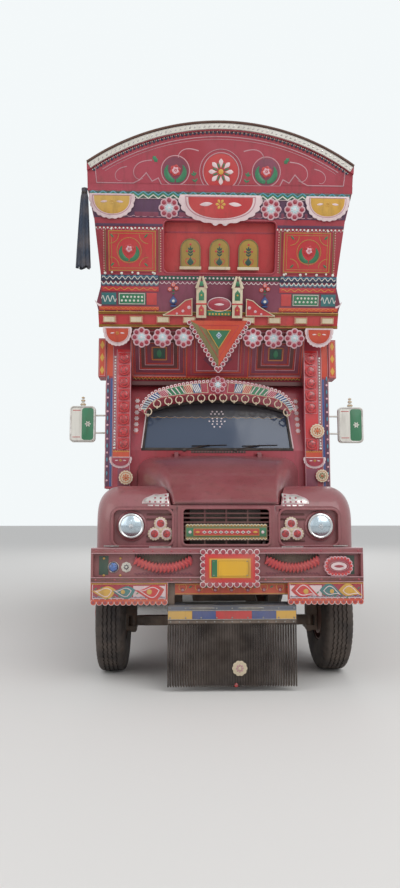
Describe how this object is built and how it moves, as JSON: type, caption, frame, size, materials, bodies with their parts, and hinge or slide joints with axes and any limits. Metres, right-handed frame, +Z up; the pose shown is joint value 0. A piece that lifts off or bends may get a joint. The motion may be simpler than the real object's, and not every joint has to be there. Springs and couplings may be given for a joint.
{
  "type": "decorated truck",
  "caption": "Bonneted cargo truck with a tall painted crown leaning over the cab, garlanded bumper, high-sided load body, steered front wheels and twin rear wheels.",
  "frame": {"origin": "on the ground under the centre of the truck's box", "axes": "+Z up, -Y the way the truck faces, +X to the truck's left"},
  "size_m": [3.02, 7.581, 5.0897],
  "materials": {
    "tyre": "dusty worn rubber",
    "wheel_paint": "dusty maroon enamel",
    "chassis_black": "matt chassis black with dust",
    "engine_iron": "oily cast iron",
    "maroon_paint": "satin maroon enamel, dusty",
    "painted_tin": "hand painted sheet metal",
    "footboard_steel": "worn grey-blue paint",
    "apron_rubber": "dusty rubber strips",
    "grille_dark": "dark maroon enamel",
    "lamp_glass": "clear lamp glass",
    "window_glass": "tinted windscreen glass",
    "dash_plastic": "dark trim",
    "seat_cloth": "worn red seat cloth",
    "crown_paint": "hand painted crimson enamel",
    "reflector_red": "round red reflectors",
    "body_boards": "painted timber boards",
    "mirror_white": "white enamel",
    "dark_cloth": "dark blue-grey cotton"
  },
  "bodies": {
    "chassis": {"bumper_flaps": "painted_tin", "cab_seat": "seat_cloth", "cab_shell": "maroon_paint", "cab_steps": "chassis_black", "chassis_frame": "chassis_black", "column_reflectors": "reflector_red", "columns": "crown_paint", "corner_cloth": "dark_cloth", "crown_arch": "crown_paint", "crown_cornice": "crown_paint", "crown_floor": "crown_paint", "crown_panels": "crown_paint", "crown_plates": "painted_tin", "crown_shelf": "crown_paint", "crown_sides": "crown_paint", "crown_soffit": "crown_paint", "dashboard": "dash_plastic", "engine_block": "engine_iron", "footboard": "footboard_steel", "front_axle": "chassis_black", "front_bumper": "maroon_paint", "fuel_tank": "chassis_black", "grille": "grille_dark", "headlamps": "lamp_glass", "leaf_springs": "chassis_black", "load_floor": "body_boards", "load_front": "body_boards", "load_sides": "body_boards", "mirrors": "mirror_white", "mud_flaps": "apron_rubber", "nose_panel": "maroon_paint", "number_board": "painted_tin", "radiator": "engine_iron", "rear_axle": "chassis_black", "rear_bumper": "chassis_black", "rear_frame": "body_boards", "strip_apron": "apron_rubber", "tool_box": "chassis_black", "visor_crest": "painted_tin", "windscreen": "window_glass", "wings": "maroon_paint"},
    "knuckle_left": {"knuckle_left": "chassis_black"},
    "knuckle_right": {"knuckle_right": "chassis_black"},
    "front_wheel_left": {"front_wheel_left": "wheel_paint", "front_tyre_left": "tyre"},
    "front_wheel_right": {"front_wheel_right": "wheel_paint", "front_tyre_right": "tyre"},
    "rear_wheels_left": {"rear_wheels_left": "wheel_paint", "rear_tyres_left": "tyre"},
    "rear_wheels_right": {"rear_wheels_right": "wheel_paint", "rear_tyres_right": "tyre"},
    "bonnet": {"bonnet": "maroon_paint"},
    "door_left": {"door_left": "maroon_paint"},
    "door_right": {"door_right": "maroon_paint"},
    "tailgate": {"tailgate": "body_boards"}
  },
  "joints": [
    {"name": "steer_left", "type": "hinge", "parent": "chassis", "child": "knuckle_left", "pos_m": [0.8, -2.9505, 0.51], "axis": [0, 0, 1], "range_deg": [-32, 32]},
    {"name": "front_spin_left", "type": "hinge", "parent": "knuckle_left", "child": "front_wheel_left", "pos_m": [0.97, -2.9505, 0.51], "axis": [1, 0, 0], "continuous": true},
    {"name": "steer_right", "type": "hinge", "parent": "chassis", "child": "knuckle_right", "pos_m": [-0.8, -2.9505, 0.51], "axis": [0, 0, 1], "range_deg": [-32, 32]},
    {"name": "front_spin_right", "type": "hinge", "parent": "knuckle_right", "child": "front_wheel_right", "pos_m": [-0.97, -2.9505, 0.51], "axis": [1, 0, 0], "continuous": true},
    {"name": "rear_spin_left", "type": "hinge", "parent": "chassis", "child": "rear_wheels_left", "pos_m": [0.9, 1.2895, 0.51], "axis": [1, 0, 0], "continuous": true},
    {"name": "door_left_hinge", "type": "hinge", "parent": "chassis", "child": "door_left", "pos_m": [1.114, -2.1345, 1.65], "axis": [0, 0, -1], "range_deg": [0, 70]},
    {"name": "rear_spin_right", "type": "hinge", "parent": "chassis", "child": "rear_wheels_right", "pos_m": [-0.9, 1.2895, 0.51], "axis": [1, 0, 0], "continuous": true},
    {"name": "door_right_hinge", "type": "hinge", "parent": "chassis", "child": "door_right", "pos_m": [-1.114, -2.1345, 1.65], "axis": [0, 0, 1], "range_deg": [0, 70]},
    {"name": "bonnet_hinge", "type": "hinge", "parent": "chassis", "child": "bonnet", "pos_m": [0, -2.4125, 1.996], "axis": [-1, 0, 0], "range_deg": [0, 45]},
    {"name": "tailgate_hinge", "type": "hinge", "parent": "chassis", "child": "tailgate", "pos_m": [0, 3.763, 1.198], "axis": [-1, 0, 0], "range_deg": [0, 170]}
  ],
  "couplings": [
    {"joint": "steer_right", "follows": "steer_left", "ratio": 1}
  ]
}
